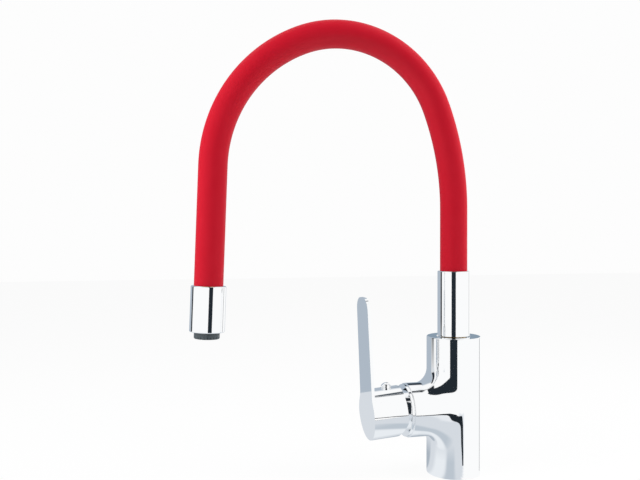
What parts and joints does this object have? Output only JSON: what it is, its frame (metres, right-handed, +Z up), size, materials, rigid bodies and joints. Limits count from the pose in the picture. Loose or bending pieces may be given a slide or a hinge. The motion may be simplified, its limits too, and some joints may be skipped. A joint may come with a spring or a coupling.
{
  "type": "kitchen faucet",
  "caption": "Deck-mounted single-lever kitchen mixer tap with a bendable silicone-sleeved gooseneck spout, a swivelling base and an aerated nozzle",
  "frame": {"origin": "centre of the base's flat underside, where the tap stands on the deck", "axes": "+Z up out of the deck; -X points along the lever barrel and the spout, toward the person at the sink; +Y to that person's left"},
  "size_m": [0.2615, 0.054, 0.4493],
  "materials": {
    "chrome_plate": "polished chrome plate over brass",
    "bare_brass": "machined brass",
    "plain_steel": "zinc plated steel",
    "core_metal": "plain aluminium",
    "red_silicone": "satin silicone rubber",
    "black_rubber": "sealing rubber",
    "clear_hose": "food-safe water hose",
    "white_ceramic": "lapped ceramic",
    "white_plastic": "moulded plastic",
    "grey_plastic": "moulded plastic",
    "dark_plastic": "dark moulded plastic"
  },
  "bodies": {
    "body": {"mixer_body": "chrome_plate", "base_gasket": "black_rubber", "mounting_shank": "bare_brass", "under_deck_gasket": "black_rubber", "under_deck_washer": "plain_steel", "shank_nut": "bare_brass", "cartridge_base": "grey_plastic", "cartridge_seals": "black_rubber", "fixed_disc": "white_ceramic", "cartridge_housing": "white_plastic", "retaining_nut": "bare_brass", "trim_ring": "chrome_plate", "glide_rings": "white_plastic", "stem_retainer": "chrome_plate"},
    "temperature_rotor": {"cartridge_rotor": "grey_plastic", "rotor_seal": "black_rubber", "lever_pivot_pin": "plain_steel"},
    "disc_slider": {"disc_carrier": "grey_plastic", "moving_disc": "white_ceramic"},
    "lever": {"lever_spindle": "bare_brass", "lever_handle": "chrome_plate", "lever_grub_screw": "plain_steel", "screw_cover_plug": "chrome_plate"},
    "spout_foot": {"swivel_stem": "bare_brass", "stem_o_rings": "black_rubber", "spout_ferrule": "chrome_plate", "gooseneck_root": "core_metal", "silicone_sleeve": "red_silicone", "water_hose": "clear_hose"},
    "spout_1": {"gooseneck_length_1": "core_metal"},
    "spout_2": {"gooseneck_length_2": "core_metal"},
    "spout_3": {"gooseneck_length_3": "core_metal"},
    "spout_4": {"gooseneck_length_4": "core_metal"},
    "spout_5": {"gooseneck_length_5": "core_metal"},
    "spout_6": {"gooseneck_length_6": "core_metal"},
    "spout_7": {"gooseneck_length_7": "core_metal"},
    "spout_8": {"gooseneck_length_8": "core_metal"},
    "nozzle": {"nozzle_adapter": "bare_brass", "nozzle_shell": "chrome_plate", "aerator_seal": "black_rubber", "aerator_insert": "white_plastic", "aerator_housing": "dark_plastic"}
  },
  "joints": [
    {"name": "lever_temperature", "type": "hinge", "parent": "body", "child": "temperature_rotor", "pos_m": [-0.054, 0, 0.058], "axis": [-1, 0, 0], "range_deg": [-45, 45]},
    {"name": "lever_flow", "type": "hinge", "parent": "temperature_rotor", "child": "lever", "pos_m": [-0.054, 0, 0.058], "axis": [0, -1, 0], "range_deg": [0, 20]},
    {"name": "disc_slide", "type": "slide", "parent": "temperature_rotor", "child": "disc_slider", "axis": [0, 0, 1], "range_m": [0, 0.0061]},
    {"name": "spout_swivel", "type": "hinge", "parent": "body", "child": "spout_foot", "pos_m": [0, 0, 0.12], "axis": [0, 0, 1], "continuous": true},
    {"name": "bend_1", "type": "hinge", "parent": "spout_foot", "child": "spout_1", "pos_m": [0, 0, 0.195], "axis": [0, -1, 0], "range_deg": [-12, 6], "deforming": ["silicone_sleeve", "water_hose"]},
    {"name": "side_1", "type": "hinge", "parent": "spout_1", "child": "spout_2", "pos_m": [-0.00104, 0, 0.25812], "axis": [0.9958, 0, 0.0913], "range_deg": [-12, 12], "deforming": ["silicone_sleeve", "water_hose"]},
    {"name": "bend_2", "type": "hinge", "parent": "spout_2", "child": "spout_3", "pos_m": [-0.01465, 0, 0.31963], "axis": [0, -1, 0], "range_deg": [-12, 6], "deforming": ["silicone_sleeve", "water_hose"]},
    {"name": "side_2", "type": "hinge", "parent": "spout_3", "child": "spout_4", "pos_m": [-0.05173, 0, 0.36932], "axis": [0.5592, 0, 0.829], "range_deg": [-12, 12], "deforming": ["silicone_sleeve", "water_hose"]},
    {"name": "bend_3", "type": "hinge", "parent": "spout_4", "child": "spout_5", "pos_m": [-0.11169, 0, 0.38494], "axis": [0, -1, 0], "range_deg": [-12, 6], "deforming": ["silicone_sleeve", "water_hose"]},
    {"name": "side_3", "type": "hinge", "parent": "spout_5", "child": "spout_6", "pos_m": [-0.1691, 0, 0.36086], "axis": [-0.6222, 0, 0.7829], "range_deg": [-12, 12], "deforming": ["silicone_sleeve", "water_hose"]},
    {"name": "bend_4", "type": "hinge", "parent": "spout_6", "child": "spout_7", "pos_m": [-0.2064, 0, 0.31077], "axis": [0, -1, 0], "range_deg": [-12, 6], "deforming": ["silicone_sleeve", "water_hose"]},
    {"name": "side_4", "type": "hinge", "parent": "spout_7", "child": "spout_8", "pos_m": [-0.21582, 0, 0.24874], "axis": [-0.9993, 0, 0.0366], "range_deg": [-12, 12], "deforming": ["silicone_sleeve", "water_hose"]},
    {"name": "bend_5", "type": "hinge", "parent": "spout_8", "child": "nozzle", "pos_m": [-0.21813, 0, 0.18563], "axis": [0, -1, 0], "range_deg": [-12, 6], "deforming": ["silicone_sleeve", "water_hose"]}
  ],
  "couplings": [
    {"joint": "bend_2", "follows": "bend_1", "ratio": 1},
    {"joint": "side_2", "follows": "side_1", "ratio": 1},
    {"joint": "bend_3", "follows": "bend_1", "ratio": 1},
    {"joint": "side_3", "follows": "side_1", "ratio": 1},
    {"joint": "bend_4", "follows": "bend_1", "ratio": 1},
    {"joint": "side_4", "follows": "side_1", "ratio": 1},
    {"joint": "bend_5", "follows": "bend_1", "ratio": 1},
    {"joint": "disc_slide", "follows": "lever_flow", "m_per_rad": 0.01734}
  ]
}
